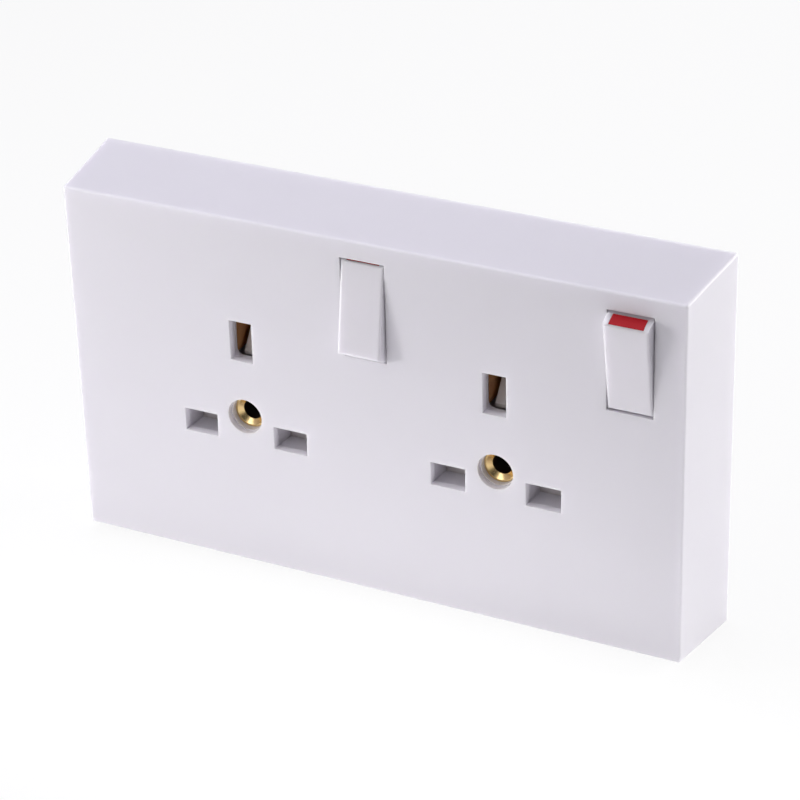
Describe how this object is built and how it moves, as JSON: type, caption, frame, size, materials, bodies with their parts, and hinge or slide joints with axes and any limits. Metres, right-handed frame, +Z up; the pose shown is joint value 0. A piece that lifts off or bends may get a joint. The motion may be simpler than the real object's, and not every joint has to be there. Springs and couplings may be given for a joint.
{
  "type": "switched two-way socket adapter",
  "caption": "White flared wall casing with shuttered pin outlets side by side, rocker switches with a red on mark, and brass-bushed holes for fixing over a wall box.",
  "frame": {"origin": "on the wall plane, midway between the two fixing screws", "axes": "+X across the face to the right as seen from the front, +Y into the wall along the screws, +Z up"},
  "size_m": [0.1496, 0.028, 0.0891],
  "materials": {
    "casing_white": "moulded white thermoset, satin to gloss",
    "rocker_white": "moulded white thermoplastic, satin",
    "flash_red": "red inlay, satin",
    "shutter_ivory": "moulded, matt",
    "cover_white": "moulded, matt",
    "plunger_nylon": "moulded nylon",
    "bush_brass": "turned bright",
    "strip_brass": "pressed strip, dull",
    "plated_steel": "zinc plated",
    "spring_steel": "drawn wire",
    "contact_silver": "silver alloy"
  },
  "bodies": {
    "casing": {"front_casing": "casing_white", "rear_cover": "cover_white", "earth_strap": "strip_brass", "line_busbar": "strip_brass", "neutral_busbar": "strip_brass", "fixed_tips": "contact_silver", "line_terminal": "strip_brass", "neutral_terminal": "strip_brass", "earth_terminal": "strip_brass", "terminal_screws": "plated_steel", "cover_screws": "plated_steel", "fixing_bush_left": "bush_brass", "earth_clip_left": "strip_brass", "line_contact_left": "strip_brass", "neutral_clip_left": "strip_brass", "shutter_spring_left": "spring_steel", "fixing_bush_right": "bush_brass", "earth_clip_right": "strip_brass", "line_contact_right": "strip_brass", "neutral_clip_right": "strip_brass", "shutter_spring_right": "spring_steel"},
    "rocker_left": {"rocker_left": "rocker_white", "on_flash_left": "flash_red", "plunger_left": "plunger_nylon", "plunger_spring_left": "spring_steel"},
    "seesaw_left": {"seesaw_left": "strip_brass", "moving_tip_left": "contact_silver"},
    "shutter_left": {"shutter_left": "shutter_ivory"},
    "rocker_right": {"rocker_right": "rocker_white", "on_flash_right": "flash_red", "plunger_right": "plunger_nylon", "plunger_spring_right": "spring_steel"},
    "seesaw_right": {"seesaw_right": "strip_brass", "moving_tip_right": "contact_silver"},
    "shutter_right": {"shutter_right": "shutter_ivory"}
  },
  "joints": [
    {"name": "rocker_left_turn", "type": "hinge", "parent": "casing", "child": "rocker_left", "pos_m": [0, -0.0193, 0.0321], "axis": [1, 0, 0], "range_deg": [0, 17.5]},
    {"name": "seesaw_left_rock", "type": "hinge", "parent": "casing", "child": "seesaw_left", "pos_m": [0, -0.0049, 0.0321], "axis": [1, 0, 0], "range_deg": [-14, 0]},
    {"name": "shutter_left_slide", "type": "slide", "parent": "casing", "child": "shutter_left", "axis": [0, 0, -1], "range_m": [0, 0.0066], "stiffness_N_per_m": 150, "springref_m": -0.008, "deforming": ["shutter_spring_left"]},
    {"name": "rocker_right_turn", "type": "hinge", "parent": "casing", "child": "rocker_right", "pos_m": [0.06055, -0.0193, 0.0321], "axis": [1, 0, 0], "range_deg": [-17.5, 0]},
    {"name": "seesaw_right_rock", "type": "hinge", "parent": "casing", "child": "seesaw_right", "pos_m": [0.06055, -0.0049, 0.0321], "axis": [1, 0, 0], "range_deg": [0, 14]},
    {"name": "shutter_right_slide", "type": "slide", "parent": "casing", "child": "shutter_right", "axis": [0, 0, -1], "range_m": [0, 0.0066], "stiffness_N_per_m": 150, "springref_m": -0.008, "deforming": ["shutter_spring_right"]}
  ],
  "couplings": [
    {"joint": "seesaw_left_rock", "follows": "rocker_left_turn", "ratio": -0.8},
    {"joint": "seesaw_right_rock", "follows": "rocker_right_turn", "ratio": -0.8}
  ]
}
